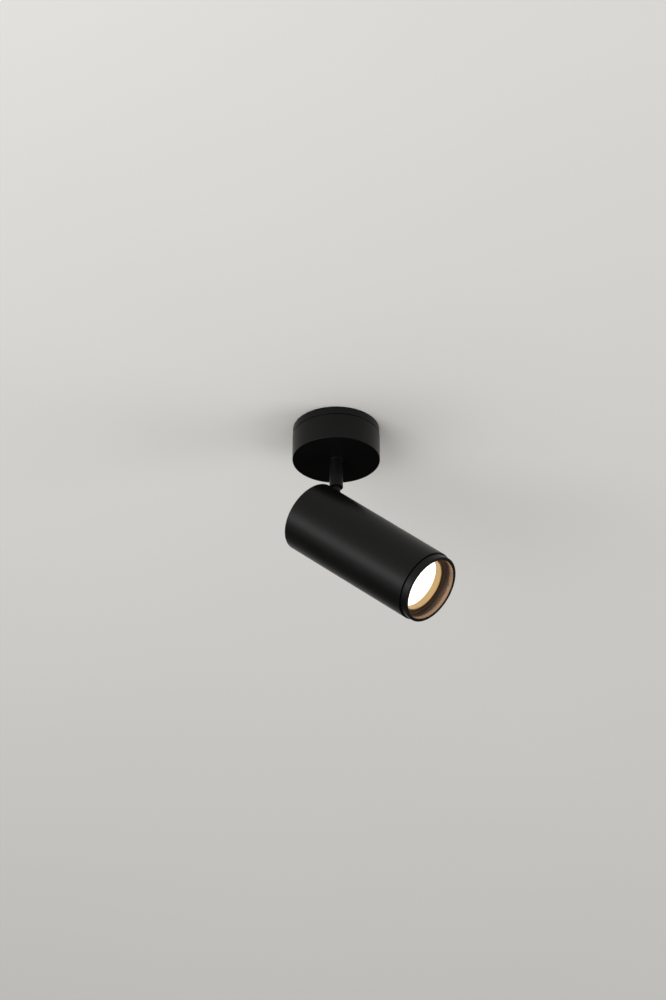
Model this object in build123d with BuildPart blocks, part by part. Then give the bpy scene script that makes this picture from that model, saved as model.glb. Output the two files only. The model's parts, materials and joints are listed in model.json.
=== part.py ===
from build123d import *
import os
from math import cos, hypot, radians, sin

os.makedirs("parts", exist_ok=True)

# All sizes are in millimetres. The origin is the middle of the face that lies on the ceiling, +Z is up,
# and at rest the head points along +X and down by the rest tilt.

# Clearances
press_fit = 0.05
running_fit = 0.05
slip_fit = 0.15
hole_clearance = 0.2

# Canopy: base plate and cover
canopy_height = 30.0
cover_radius = 36.3
cover_wall = 1.5
cover_floor = 2.0
cover_edge = 0.4
ring_height = 6.5
ring_step = 0.3
shadow_gap = 0.8
plate_thickness = 2.5
skirt_wall = 2.5
skirt_depth = 6.0
screw_slot_spacing = 50.0
screw_slot_length = 10.0
screw_slot_width = 4.5

# Cable entry in the base plate
entry_inset = 13.15
entry_bore = 9.0
grommet_wall = 2.0
grommet_flange = 2.0
grommet_flange_thickness = 1.5

# Grub screws that hold the cover on the plate's skirt
grub_diameter = 3.0
grub_recess = 0.3
grub_socket = 1.5
grub_socket_depth = 1.5
grub_angle = 20.8

# Terminal block with three poles
block_length = 24.0
block_width = 14.0
block_height = 12.0
block_edge = 1.0
block_inset = 4.15
pole_spacing = 8.0
pole_bore = 2.4
pole_depth = 5.0
clamp_screw_diameter = 2.6
clamp_screw_length = 4.0
clamp_screw_inset = 3.2
clamp_screw_slot = 0.5
fixing_screw_diameter = 2.5
fixing_head_diameter = 4.5
fixing_head_height = 1.6
fixing_head_seat = 6.0
fixing_grip = 1.6

# Earth terminal on the base plate
earth_inset = 12.15
earth_side = 8.0
earth_screw_diameter = 4.0
earth_head_diameter = 7.0
earth_head_height = 2.4
earth_grip = 1.8
earth_washer_diameter = 9.0
earth_washer_thickness = 1.0

# Cable and its cores
cable_diameter = 2.8
core_diameter = 1.2
core_circle = 0.75
cable_hole_clearance = 0.4
cable_bend = 4.0
core_bend = 2.0

# Pan bearing
nipple_diameter = 8.0
nipple_bore = 4.0
nipple_grip = 9.0
nipple_end = 1.5
bush_wall = 1.2
bush_flange_thickness = 0.6
washer_diameter = 16.0
friction_washer_thickness = 0.8
stop_washer_thickness = 1.2
stop_tab_width = 2.5
stop_tab_end = 1.5
stop_pin_diameter = 2.5
stop_pin_gap = 0.75
stop_pin_height = 3.5
stop_pin_seat = 1.0
spring_washer_height = 1.2
spring_washer_thickness = 0.7
nut_across_flats = 13.0
nut_height = 5.0

# Stem
sleeve_diameter = 11.3
sleeve_length = 26.0
sleeve_edge = 0.3
arm_diameter = 7.0
arm_grip = 10.0
arm_bore = 3.8

# Head tube
head_diameter = 60.0
back_length = 30.0
front_length = 101.4
tube_edge = 0.4
head_wall = 2.4
shoulder_step = 1.2
rest_tilt = 41.0
swing_clearance = 0.4
slot_clearance = 0.6

# Tilt pivot
eye_diameter = 15.0
eye_width = 14.0
cheek_thickness = 3.0
pivot_washer_thickness = 0.5
pivot_bush_diameter = 7.0
pivot_bush_bore = 3.8
pivot_bush_depth = 2.4
pivot_bush_flange = 10.0
pivot_bush_flange_thickness = 1.0
pivot_screw_diameter = 4.0
pivot_screw_wall = 0.6
pivot_head_diameter = 7.5
pivot_head_height = 3.0
pivot_socket = 3.0
pivot_socket_depth = 1.6
pivot_spring_thickness = 0.8

# Rear cap and chassis
cap_thickness = 3.0
chassis_thickness = 2.5
pillar_diameter = 6.5
pillar_spacing = 30.0
pillar_drop = 9.0
cap_screw_diameter = 3.0
cap_screw_grip = 9.0
cap_head_diameter = 5.5
cap_head_height = 1.6
cap_head_seat = 2.0

# Cross recess of the pan head screws
cross_width = 0.8
cross_depth = 0.8
cross_rim = 1.1

# Lamp holder
standoff_diameter = 6.0
standoff_length = 8.0
standoff_spacing = 24.0
holder_diameter = 37.0
holder_height = 16.0
holder_edge = 1.0
holder_screw_diameter = 3.0
holder_screw_grip = 6.0
holder_head_diameter = 5.5
holder_head_height = 1.6
cable_grip = 4.0
pin_circle = 10.0
pin_neck_diameter = 3.0
pin_head_diameter = 4.8
pin_neck_length = 3.0
pin_head_length = 3.5
pin_root = 3.0
pin_play = 0.1
keyhole_clearance = 0.3
contact_thickness = 0.5
contact_gap = 0.5
lamp_turn = 22.0
lamp_face_gap = 0.2

# Lamp
lamp_room = 1.15
lamp_length = 48.0
lamp_base_diameter = 28.0
lamp_base_height = 14.0
lamp_neck_diameter = 31.0
lamp_rim_height = 5.0
lamp_wall = 1.4
lens_thickness = 1.8
lens_rim = 0.6
board_diameter = 22.0
board_thickness = 1.6
chip_diameter = 12.0
chip_thickness = 1.0

# Bezel
bezel_height = 6.6
bezel_step = 1.15
bezel_edge = 0.4
bezel_seam = 0.4
bezel_recess = 9.9
bezel_web = 2.5
spigot_length = 8.0
spigot_wall = 1.3
lamp_ring_cover = 2.9
lamp_ring_wall = 0.7
lamp_ring_depth = 6.1
lamp_ring_gap = 0.2
lamp_ring_room = 0.35
o_ring_thickness = 1.5
o_ring_clearance = 0.05

# Levels in the canopy and along the stem
ring_radius = cover_radius - ring_step
cover_bore = cover_radius - cover_wall
cover_top = -(ring_height + shadow_gap)
floor_level = -canopy_height + cover_floor
skirt_radius = cover_bore - slip_fit
skirt_bore = skirt_radius - skirt_wall
skirt_end = cover_top - skirt_depth
entry_offset = skirt_bore - entry_inset
earth_place = (earth_inset - skirt_bore, -earth_side)
block_far_side = skirt_bore - block_inset
block_near_side = block_far_side - block_width
stop_level = floor_level + friction_washer_thickness
spring_level = stop_level + stop_washer_thickness
nut_level = spring_level + spring_washer_height
nipple_top = nut_level + nut_height + nipple_end
sleeve_top = -canopy_height - bush_flange_thickness
sleeve_end = sleeve_top - sleeve_length

# The back corner of the head swings just below the sleeve
swing_radius = hypot(head_diameter / 2, back_length)
pivot_level = sleeve_end - swing_clearance - swing_radius
arm_top = sleeve_end + arm_grip

# Places along the head, measured from the pivot towards the mouth
cap_inside = -back_length + cap_thickness
mouth = front_length + bezel_height
web_front = mouth - bezel_recess
web_back = web_front - bezel_web
lamp_ring_back = web_front - lamp_ring_depth
lamp_front = lamp_ring_back - lamp_ring_gap
lamp_back = lamp_front - lamp_length
holder_front = lamp_back - lamp_face_gap
holder_back = holder_front - holder_height
chassis_front = holder_back - standoff_length
shoulder_place = chassis_front - chassis_thickness
slot_width = arm_diameter + 2 * slot_clearance

# Radii of the fits
grub_radius = grub_diameter / 2
nipple_radius = nipple_diameter / 2
bush_bore_radius = nipple_radius + running_fit
bush_radius = bush_bore_radius + bush_wall
eye_half = eye_width / 2
cheek_inside = eye_half + pivot_washer_thickness
cheek_outside = cheek_inside + cheek_thickness
cable_side = cheek_outside + pivot_bush_flange_thickness + cable_bend
stop_pin_circle = washer_diameter / 2 + stop_pin_gap + stop_pin_diameter / 2
stop_tab_reach = stop_pin_circle + stop_tab_end
head_radius = head_diameter / 2
front_bore_radius = head_radius - head_wall
rear_bore_radius = front_bore_radius - shoulder_step
spigot_radius = front_bore_radius - slip_fit
opening_radius = spigot_radius - spigot_wall
bezel_radius = head_radius - bezel_step
lamp_radius = opening_radius - lamp_room
ring_bore_radius = lamp_radius - lamp_ring_cover
ring_outer_radius = ring_bore_radius + lamp_ring_wall
ring_flange_radius = opening_radius - lamp_ring_room

# Planes: the head's sections stand square to its axis, with local X on the head's upper side
tilt = radians(rest_tilt)
aim = (cos(tilt), 0, -sin(tilt))
backward = (-cos(tilt), 0, sin(tilt))
upper = (sin(tilt), 0, cos(tilt))
lower = (-sin(tilt), 0, -cos(tilt))
pivot = (0, 0, pivot_level)
head_section = Plane(origin=pivot, x_dir=upper, z_dir=aim)
head_profile = Plane(origin=pivot, x_dir=aim, z_dir=(0, -1, 0))
head_top = Plane(origin=pivot, x_dir=aim, z_dir=upper)
head_axis = Axis(pivot, aim)
pivot_side = Plane(origin=pivot, x_dir=aim, z_dir=(0, 1, 0))
pivot_profile = Plane(origin=pivot, x_dir=(0, 1, 0), z_dir=aim)
pivot_axis = Axis(pivot, (0, 1, 0))
lamp_cable_plane = Plane(origin=pivot, x_dir=(0, 1, 0), z_dir=lower)


def outline(plane, points):
    with BuildSketch(plane) as profile:
        with BuildLine():
            Polyline(*points, close=True)
        make_face()
    return profile.sketch


def turned(points, plane=Plane.XZ, axis=Axis.Z):
    revolve(outline(plane, points), axis=axis)


def rod(plane, radius, length, mode=Mode.ADD):
    with BuildSketch(plane) as section:
        Circle(radius)
    extrude(section.sketch, amount=length, mode=mode)


def ring(plane, radius, bore_radius, length):
    with BuildSketch(plane) as section:
        Circle(radius)
        Circle(bore_radius, mode=Mode.SUBTRACT)
    extrude(section.sketch, amount=length)


def groove(plane, length, width, depth, turn=0):
    with BuildSketch(plane) as section:
        Rectangle(length, width, rotation=turn)
    extrude(section.sketch, amount=-depth, mode=Mode.SUBTRACT)


def socket(plane, across_flats, depth):
    with BuildSketch(plane) as section:
        RegularPolygon(across_flats / 2, 6, major_radius=False)
    extrude(section.sketch, amount=-depth, mode=Mode.SUBTRACT)


def pan_screw(plane, top_diameter, top_height, diameter, length):
    # the plane lies under the screw's head, and its normal points out of it
    rod(plane, top_diameter / 2, top_height)
    rod(plane, diameter / 2, -length)
    for turn in (0, 90):
        groove(plane.offset(top_height), top_diameter - 2 * cross_rim, cross_width, cross_depth, turn)


def at(plane, x, y, z=0):
    # the plane moved to a place in its own coordinates
    return Plane(origin=plane.from_local_coords((x, y, z)), x_dir=plane.x_dir, z_dir=plane.z_dir)


def save(piece, name):
    piece.part.label = name
    export_step(piece.part, f"parts/{name}.step")


# Base plate: a shallow pan with a skirt that goes inside the cover
grub_level = cover_top - skirt_depth / 2
grub_planes = []
for turn in (grub_angle, grub_angle + 180):
    outward = (cos(radians(turn)), sin(radians(turn)), 0)
    grub_planes.append(Plane(origin=(0, 0, grub_level), z_dir=outward))
plate_underside = Plane(origin=(0, 0, -plate_thickness), x_dir=(1, 0, 0), z_dir=(0, 0, -1))
block_middle = block_far_side - block_width / 2
pole_places = (-pole_spacing, 0, pole_spacing)
fixing_places = (-pole_spacing / 2, pole_spacing / 2)
grommet_radius = entry_bore / 2 + grommet_wall

with BuildPart() as base_plate:
    turned([
        (0, 0),
        (ring_radius, 0),
        (ring_radius, -ring_height),
        (skirt_radius, -ring_height),
        (skirt_radius, skirt_end),
        (skirt_bore, skirt_end),
        (skirt_bore, -plate_thickness),
        (0, -plate_thickness),
    ])
    with BuildSketch():
        with GridLocations(screw_slot_spacing, 0, 2, 1):
            SlotOverall(screw_slot_length, screw_slot_width)
        with Locations((0, -entry_offset)):
            Circle(grommet_radius + press_fit)
    extrude(amount=-plate_thickness, mode=Mode.SUBTRACT)
    for grub_plane in grub_planes:
        rod(grub_plane, grub_radius + press_fit, skirt_radius, Mode.SUBTRACT)
    for place in fixing_places:
        hole_plane = Plane(origin=(place, block_middle, -plate_thickness))
        rod(hole_plane, fixing_screw_diameter / 2 + press_fit, fixing_grip + press_fit, Mode.SUBTRACT)
    earth_hole = Plane(origin=(*earth_place, -plate_thickness))
    rod(earth_hole, earth_screw_diameter / 2 + press_fit, earth_grip + press_fit, Mode.SUBTRACT)
save(base_plate, "base_plate")

# Cable grommet, flush with the ceiling face and flanged inside the canopy
grommet_plane = Plane(origin=(0, -entry_offset, 0))
with BuildPart() as cable_grommet:
    ring(grommet_plane, grommet_radius, entry_bore / 2, -plate_thickness)
    flange_plane = grommet_plane.offset(-plate_thickness)
    ring(flange_plane, grommet_radius + grommet_flange, entry_bore / 2, -grommet_flange_thickness)
save(cable_grommet, "cable_grommet")

# Cover: a turned cup with a hole for the stem's bush
with BuildPart() as canopy_cover:
    turned([
        (bush_radius + press_fit, -canopy_height),
        (cover_radius - cover_edge, -canopy_height),
        (cover_radius, -canopy_height + cover_edge),
        (cover_radius, cover_top),
        (cover_bore, cover_top),
        (cover_bore, floor_level),
        (bush_radius + press_fit, floor_level),
    ])
    for grub_plane in grub_planes:
        rod(grub_plane, grub_radius + hole_clearance, cover_radius, Mode.SUBTRACT)
    stop_pin_plane = Plane(origin=(-stop_pin_circle, 0, floor_level - stop_pin_seat))
    rod(stop_pin_plane, stop_pin_diameter / 2 + press_fit, stop_pin_seat, Mode.SUBTRACT)
save(canopy_cover, "canopy_cover")

# Grub screws, sunk a little below the cover's side
with BuildPart() as cover_grub_screws:
    for grub_plane in grub_planes:
        rod(grub_plane.offset(skirt_bore), grub_radius, cover_radius - grub_recess - skirt_bore)
        socket(grub_plane.offset(cover_radius - grub_recess), grub_socket, grub_socket_depth)
save(cover_grub_screws, "cover_grub_screws")

# Stop pin, pressed into the cover's floor
with BuildPart() as stop_pin:
    rod(stop_pin_plane, stop_pin_diameter / 2, stop_pin_seat + stop_pin_height)
save(stop_pin, "stop_pin")

# Terminal block, with a wire hole for each pole on both sides and clamp screws from below
block_level = -plate_thickness - block_height / 2
block_end = -plate_thickness - block_height
near_face = Plane(origin=(0, block_near_side, block_level), x_dir=(1, 0, 0), z_dir=(0, -1, 0))
far_face = Plane(origin=(0, block_far_side, block_level), x_dir=(1, 0, 0), z_dir=(0, 1, 0))
block_underside = Plane(origin=(0, block_middle, block_end), x_dir=(1, 0, 0), z_dir=(0, 0, -1))
clamp_rows = (block_width / 2 - clamp_screw_inset, clamp_screw_inset - block_width / 2)
clamp_planes = [at(block_underside, place, row) for place in pole_places for row in clamp_rows]
clamp_radius = clamp_screw_diameter / 2

with BuildPart() as terminal_block:
    with BuildSketch(plate_underside):
        with Locations((0, -block_middle)):
            Rectangle(block_length, block_width)
    extrude(amount=block_height)
    fillet(terminal_block.edges().filter_by(Axis.Z), radius=block_edge)
    for place in pole_places:
        for face_plane in (near_face, far_face):
            rod(at(face_plane, place, 0), pole_bore / 2, -pole_depth, Mode.SUBTRACT)
    for clamp_plane in clamp_planes:
        rod(clamp_plane, clamp_radius + press_fit, -clamp_screw_length, Mode.SUBTRACT)
    for place in fixing_places:
        fixing_plane = at(block_underside, place, 0)
        rod(fixing_plane, fixing_screw_diameter / 2 + slip_fit, -block_height, Mode.SUBTRACT)
        rod(fixing_plane, fixing_head_diameter / 2 + slip_fit, -fixing_head_seat, Mode.SUBTRACT)
save(terminal_block, "terminal_block")

with BuildPart() as terminal_screws:
    for clamp_plane in clamp_planes:
        rod(clamp_plane, clamp_radius, -clamp_screw_length)
        groove(clamp_plane, clamp_screw_diameter, clamp_screw_slot, clamp_screw_slot)
save(terminal_screws, "terminal_screws")

fixing_length = block_height - fixing_head_seat + fixing_grip
with BuildPart() as terminal_fixing_screws:
    for place in fixing_places:
        seat_plane = at(block_underside, place, 0, -fixing_head_seat)
        pan_screw(seat_plane, fixing_head_diameter, fixing_head_height, fixing_screw_diameter, fixing_length)
save(terminal_fixing_screws, "terminal_fixing_screws")

# Earth terminal
earth_plane = Plane(origin=(*earth_place, -plate_thickness), x_dir=(1, 0, 0), z_dir=(0, 0, -1))
with BuildPart() as earth_washer:
    earth_hole_radius = earth_screw_diameter / 2 + slip_fit
    ring(earth_plane, earth_washer_diameter / 2, earth_hole_radius, earth_washer_thickness)
save(earth_washer, "earth_washer")

earth_length = earth_washer_thickness + earth_grip
with BuildPart() as earth_screw:
    earth_seat = earth_plane.offset(earth_washer_thickness)
    pan_screw(earth_seat, earth_head_diameter, earth_head_height, earth_screw_diameter, earth_length)
save(earth_screw, "earth_screw")

# Stem bush: a plain bearing in the cover's floor, flanged below it
with BuildPart() as stem_bush:
    turned([
        (bush_bore_radius, sleeve_top),
        (sleeve_diameter / 2, sleeve_top),
        (sleeve_diameter / 2, -canopy_height),
        (bush_radius, -canopy_height),
        (bush_radius, floor_level),
        (bush_bore_radius, floor_level),
    ])
save(stem_bush, "stem_bush")

# Friction washer that lies on the cover's floor
with BuildPart() as friction_washer:
    floor_plane = Plane.XY.offset(floor_level)
    ring(floor_plane, washer_diameter / 2, nipple_radius + slip_fit, friction_washer_thickness)
save(friction_washer, "friction_washer")

# Stop washer, whose tab meets the stop pin at both ends of the turn
with BuildPart() as stop_washer:
    with BuildSketch(Plane.XY.offset(stop_level)):
        Circle(washer_diameter / 2)
        with Locations((stop_tab_reach / 2, 0)):
            Rectangle(stop_tab_reach, stop_tab_width)
        Circle(nipple_radius + press_fit, mode=Mode.SUBTRACT)
    extrude(amount=stop_washer_thickness)
save(stop_washer, "stop_washer")

# Dished spring washer
with BuildPart() as spring_washer:
    dish = spring_washer_height - spring_washer_thickness
    turned([
        (nipple_radius + slip_fit, spring_level + dish),
        (washer_diameter / 2, spring_level),
        (washer_diameter / 2, spring_level + spring_washer_thickness),
        (nipple_radius + slip_fit, spring_level + spring_washer_height),
    ])
save(spring_washer, "spring_washer")

with BuildPart() as stem_nut:
    with BuildSketch(Plane.XY.offset(nut_level)):
        RegularPolygon(nut_across_flats / 2, 6, major_radius=False)
        Circle(nipple_radius + press_fit, mode=Mode.SUBTRACT)
    extrude(amount=nut_height)
save(stem_nut, "stem_nut")

# Hollow nipple that joins the sleeve to the canopy
with BuildPart() as stem_nipple:
    nipple_plane = Plane.XY.offset(sleeve_top - nipple_grip)
    ring(nipple_plane, nipple_radius, nipple_bore / 2, nipple_top - sleeve_top + nipple_grip)
save(stem_nipple, "stem_nipple")

# Sleeve, bored for the nipple above and the arm below
with BuildPart() as stem_sleeve:
    turned([
        (nipple_radius + press_fit, sleeve_top),
        (sleeve_diameter / 2, sleeve_top),
        (sleeve_diameter / 2, sleeve_end + sleeve_edge),
        (sleeve_diameter / 2 - sleeve_edge, sleeve_end),
        (arm_diameter / 2 + press_fit, sleeve_end),
        (arm_diameter / 2 + press_fit, arm_top),
        (nipple_bore / 2, arm_top),
        (nipple_bore / 2, sleeve_top - nipple_grip),
        (nipple_radius + press_fit, sleeve_top - nipple_grip),
    ])
save(stem_sleeve, "stem_sleeve")

# Cable through the stem, which leaves the eye along the tilt axis
cable_radius = cable_diameter / 2
with BuildPart() as stem_cable:
    with BuildLine(Plane.YZ):
        FilletPolyline((0, nipple_top), (0, pivot_level), (eye_half, pivot_level), radius=cable_bend)
    with BuildSketch(Plane.XY.offset(nipple_top)):
        Circle(cable_radius)
    sweep()
save(stem_cable, "stem_cable")

# Arm: a rod with a round eye, hollow for the cable
pivot_screw_depth = eye_half - arm_bore / 2 - pivot_screw_wall
with BuildPart() as pivot_arm:
    rod(Plane.XY.offset(arm_top), arm_diameter / 2, pivot_level - arm_top)
    rod(pivot_side.offset(-eye_half), eye_diameter / 2, eye_width)
    with BuildLine(Plane.YZ):
        FilletPolyline((0, arm_top), (0, pivot_level), (eye_half, pivot_level), radius=cable_bend)
    with BuildSketch(Plane.XY.offset(arm_top)):
        Circle(arm_bore / 2)
    sweep(mode=Mode.SUBTRACT)
    bush_seat_radius = pivot_bush_diameter / 2 + running_fit
    rod(pivot_side.offset(eye_half), bush_seat_radius, -pivot_bush_depth, Mode.SUBTRACT)
    screw_hole_radius = pivot_screw_diameter / 2 + press_fit
    rod(pivot_side.offset(-eye_half), screw_hole_radius, pivot_screw_depth, Mode.SUBTRACT)
save(pivot_arm, "pivot_arm")

# Head tube: a rebate for the rear cap, a shoulder for the chassis and a slot for the arm
with BuildPart() as head_tube:
    turned([
        (-back_length, front_bore_radius),
        (-back_length, head_radius - tube_edge),
        (-back_length + tube_edge, head_radius),
        (front_length - tube_edge, head_radius),
        (front_length, head_radius - tube_edge),
        (front_length, front_bore_radius),
        (shoulder_place, front_bore_radius),
        (shoulder_place, rear_bore_radius),
        (cap_inside, rear_bore_radius),
        (cap_inside, front_bore_radius),
    ], head_profile, head_axis)
    with BuildSketch(head_top):
        Circle(slot_width / 2)
        with Locations((-back_length / 2, 0)):
            Rectangle(back_length, slot_width)
    extrude(amount=head_diameter, mode=Mode.SUBTRACT)
save(head_tube, "head_tube")

# Rear cap, let into the back of the tube, with the rest of the slot
pillar_places = [(-pillar_drop, -pillar_spacing / 2), (-pillar_drop, pillar_spacing / 2)]
cap_back = head_section.offset(-back_length)
cap_outside = Plane(origin=cap_back.origin, x_dir=upper, z_dir=backward)
with BuildPart() as rear_cap:
    rod(cap_back, front_bore_radius - press_fit, cap_thickness)
    with BuildSketch(cap_back):
        Circle(slot_width / 2)
        with Locations((head_radius / 2, 0)):
            Rectangle(head_radius, slot_width)
    extrude(amount=cap_thickness, mode=Mode.SUBTRACT)
    for place in pillar_places:
        rod(at(cap_back, *place), cap_screw_diameter / 2 + slip_fit, cap_thickness, Mode.SUBTRACT)
        rod(at(cap_back, *place), cap_head_diameter / 2 + slip_fit, cap_head_seat, Mode.SUBTRACT)
save(rear_cap, "rear_cap")

cap_screw_length = cap_thickness - cap_head_seat + cap_screw_grip
with BuildPart() as cap_screws:
    for drop, side in pillar_places:
        seat_plane = at(cap_outside, drop, side, -cap_head_seat)
        pan_screw(seat_plane, cap_head_diameter, cap_head_height, cap_screw_diameter, cap_screw_length)
save(cap_screws, "cap_screws")

# Chassis: a round plate on the tube's shoulder, with cheeks for the pivot and pillars for the cap screws
standoff_places = [(-standoff_spacing / 2, 0), (standoff_spacing / 2, 0)]
cable_hole_radius = cable_radius + cable_hole_clearance
chassis_plane = head_section.offset(shoulder_place)
with BuildPart() as chassis:
    rod(chassis_plane, front_bore_radius - slip_fit, chassis_thickness)
    for side in (cheek_inside, -cheek_outside):
        with BuildSketch(pivot_side.offset(side)):
            Circle(eye_diameter / 2)
            with Locations((shoulder_place / 2, 0)):
                Rectangle(shoulder_place, eye_diameter)
        extrude(amount=cheek_thickness)
    rod(pivot_side.offset(cheek_inside), pivot_bush_diameter / 2 + press_fit, cheek_thickness, Mode.SUBTRACT)
    screw_side = pivot_side.offset(-cheek_inside)
    rod(screw_side, pivot_screw_diameter / 2 + running_fit, -cheek_thickness, Mode.SUBTRACT)
    for place in pillar_places:
        rod(at(head_section, *place, cap_inside), pillar_diameter / 2, shoulder_place - cap_inside)
        screw_hole = at(head_section, *place, cap_inside)
        rod(screw_hole, cap_screw_diameter / 2 + press_fit, cap_screw_grip, Mode.SUBTRACT)
    for place in standoff_places:
        rod(at(chassis_plane, *place), holder_screw_diameter / 2 + slip_fit, chassis_thickness, Mode.SUBTRACT)
    rod(at(chassis_plane, 0, -cable_side), cable_hole_radius, chassis_thickness, Mode.SUBTRACT)
save(chassis, "chassis")

# Hollow pivot bush on one side, through which the cable leaves the eye
bush_inside = eye_half - pivot_bush_depth
with BuildPart() as pivot_bush:
    turned([
        (bush_inside, pivot_bush_bore / 2),
        (bush_inside, pivot_bush_diameter / 2),
        (cheek_outside, pivot_bush_diameter / 2),
        (cheek_outside, pivot_bush_flange / 2),
        (cheek_outside + pivot_bush_flange_thickness, pivot_bush_flange / 2),
        (cheek_outside + pivot_bush_flange_thickness, pivot_bush_bore / 2),
    ], pivot_profile, pivot_axis)
save(pivot_bush, "pivot_bush")

# Pivot screw on the other side, with the washers that give the joint its friction
pivot_seat = cheek_outside + pivot_spring_thickness
with BuildPart() as pivot_screw:
    rod(pivot_side.offset(-pivot_seat), pivot_head_diameter / 2, -pivot_head_height)
    pivot_screw_length = pivot_seat - eye_half + pivot_screw_depth
    rod(pivot_side.offset(-pivot_seat), pivot_screw_diameter / 2, pivot_screw_length)
    head_end = Plane(origin=(0, -pivot_seat - pivot_head_height, pivot_level), x_dir=aim, z_dir=(0, -1, 0))
    socket(head_end, pivot_socket, pivot_socket_depth)
save(pivot_screw, "pivot_screw")

with BuildPart() as pivot_washers:
    bush_washer_bore = pivot_bush_diameter / 2 + slip_fit
    ring(pivot_side.offset(eye_half), eye_diameter / 2, bush_washer_bore, pivot_washer_thickness)
    screw_washer_bore = pivot_screw_diameter / 2 + slip_fit
    ring(pivot_side.offset(-eye_half), eye_diameter / 2, screw_washer_bore, -pivot_washer_thickness)
save(pivot_washers, "pivot_washers")

with BuildPart() as pivot_spring_washer:
    spring_plane = pivot_side.offset(-cheek_outside)
    ring(spring_plane, pivot_head_diameter / 2, screw_washer_bore, -pivot_spring_thickness)
save(pivot_spring_washer, "pivot_spring_washer")

# Cable from the pivot bush forward to the lamp holder
with BuildPart() as lamp_cable:
    with BuildLine(lamp_cable_plane):
        cable_end = holder_back + cable_grip
        FilletPolyline((eye_half, 0), (cable_side, 0), (cable_side, cable_end), radius=cable_bend)
    with BuildSketch(pivot_side.offset(eye_half)):
        Circle(cable_radius)
    sweep()
save(lamp_cable, "lamp_cable")

# Lamp holder on two standoffs
with BuildPart() as holder_standoffs:
    for place in standoff_places:
        standoff_plane = at(head_section, *place, chassis_front)
        ring(standoff_plane, standoff_diameter / 2, holder_screw_diameter / 2 + slip_fit, standoff_length)
save(holder_standoffs, "holder_standoffs")

holder_length = holder_back - shoulder_place + holder_screw_grip
chassis_back = Plane(origin=chassis_plane.origin, x_dir=upper, z_dir=backward)
with BuildPart() as holder_screws:
    for place in standoff_places:
        seat_plane = at(chassis_back, *place)
        pan_screw(seat_plane, holder_head_diameter, holder_head_height, holder_screw_diameter, holder_length)
save(holder_screws, "holder_screws")

# The lamp's pins hang behind a keyhole in the holder's face and touch the contacts at their ends
pin_angles = (0, 180)
pin_head_front = lamp_back - pin_neck_length
pin_end = pin_head_front - pin_head_length
contact_front = pin_end - contact_gap
pocket_back = contact_front - contact_thickness
keyhole_face = pin_neck_length - lamp_face_gap - pin_play
pocket_front = holder_front - keyhole_face
holder_plane = head_section.offset(holder_back)

with BuildPart() as lamp_holder:
    rod(holder_plane, holder_diameter / 2, holder_height)
    chamfer(lamp_holder.edges().filter_by(GeomType.CIRCLE), length=holder_edge)
    for place in standoff_places:
        rod(at(holder_plane, *place), holder_screw_diameter / 2 + press_fit, holder_screw_grip, Mode.SUBTRACT)
    rod(at(holder_plane, 0, -cable_side), cable_radius + hole_clearance, cable_grip, Mode.SUBTRACT)
    for angle in pin_angles:
        with BuildSketch(head_section.offset(pocket_back)) as pocket:
            with BuildLine() as pin_path:
                CenterArc((0, 0), pin_circle / 2, angle, lamp_turn)
            SlotArc(pin_path.edge(), pin_head_diameter + 2 * keyhole_clearance)
        extrude(pocket.sketch, amount=pocket_front - pocket_back, mode=Mode.SUBTRACT)
        with BuildSketch(head_section.offset(pocket_front)) as keyhole:
            with BuildLine() as neck_path:
                CenterArc((0, 0), pin_circle / 2, angle, lamp_turn)
            SlotArc(neck_path.edge(), pin_neck_diameter + 2 * keyhole_clearance)
            with PolarLocations(pin_circle / 2, 1, start_angle=angle + lamp_turn):
                Circle(pin_head_diameter / 2 + keyhole_clearance)
        extrude(keyhole.sketch, amount=keyhole_face, mode=Mode.SUBTRACT)
save(lamp_holder, "lamp_holder")

with BuildPart() as lamp_contacts:
    for angle in pin_angles:
        with BuildSketch(head_section.offset(pocket_back)) as strip:
            with BuildLine() as strip_path:
                CenterArc((0, 0), pin_circle / 2, angle, lamp_turn)
            SlotArc(strip_path.edge(), pin_head_diameter)
        extrude(strip.sketch, amount=contact_thickness)
save(lamp_contacts, "lamp_contacts")

# Lamp: base, pins, reflector, board and lens
base_front = lamp_back + lamp_base_height
neck_radius = lamp_neck_diameter / 2
plug_radius = neck_radius - lamp_wall - press_fit
rim_back = lamp_front - lamp_rim_height
with BuildPart() as lamp_pins:
    with BuildSketch(head_section.offset(lamp_back + pin_root)):
        with PolarLocations(pin_circle / 2, len(pin_angles)):
            Circle(pin_neck_diameter / 2)
    extrude(amount=-pin_root - pin_neck_length)
    with BuildSketch(head_section.offset(pin_head_front)):
        with PolarLocations(pin_circle / 2, len(pin_angles)):
            Circle(pin_head_diameter / 2)
    extrude(amount=-pin_head_length)
save(lamp_pins, "lamp_pins")

with BuildPart() as lamp_base:
    turned([
        (lamp_back, 0),
        (lamp_back, lamp_base_diameter / 2),
        (base_front, neck_radius),
        (base_front, plug_radius),
        (base_front + lamp_wall, plug_radius),
        (base_front + lamp_wall, 0),
    ], head_profile, head_axis)
    with BuildSketch(head_section.offset(lamp_back)):
        with PolarLocations(pin_circle / 2, len(pin_angles)):
            Circle(pin_neck_diameter / 2 + press_fit)
    extrude(amount=pin_root, mode=Mode.SUBTRACT)
save(lamp_base, "lamp_base")

lens_radius = lamp_radius - lens_rim
lens_back = lamp_front - lens_thickness
with BuildPart() as lamp_reflector:
    turned([
        (base_front, neck_radius),
        (rim_back, lamp_radius),
        (lamp_front, lamp_radius),
        (lamp_front, lens_radius),
        (lens_back, lens_radius),
        (lens_back, lamp_radius - lamp_wall),
        (rim_back, lamp_radius - lamp_wall),
        (base_front + lamp_wall, neck_radius - lamp_wall),
        (base_front, neck_radius - lamp_wall),
    ], head_profile, head_axis)
save(lamp_reflector, "lamp_reflector")

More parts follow.
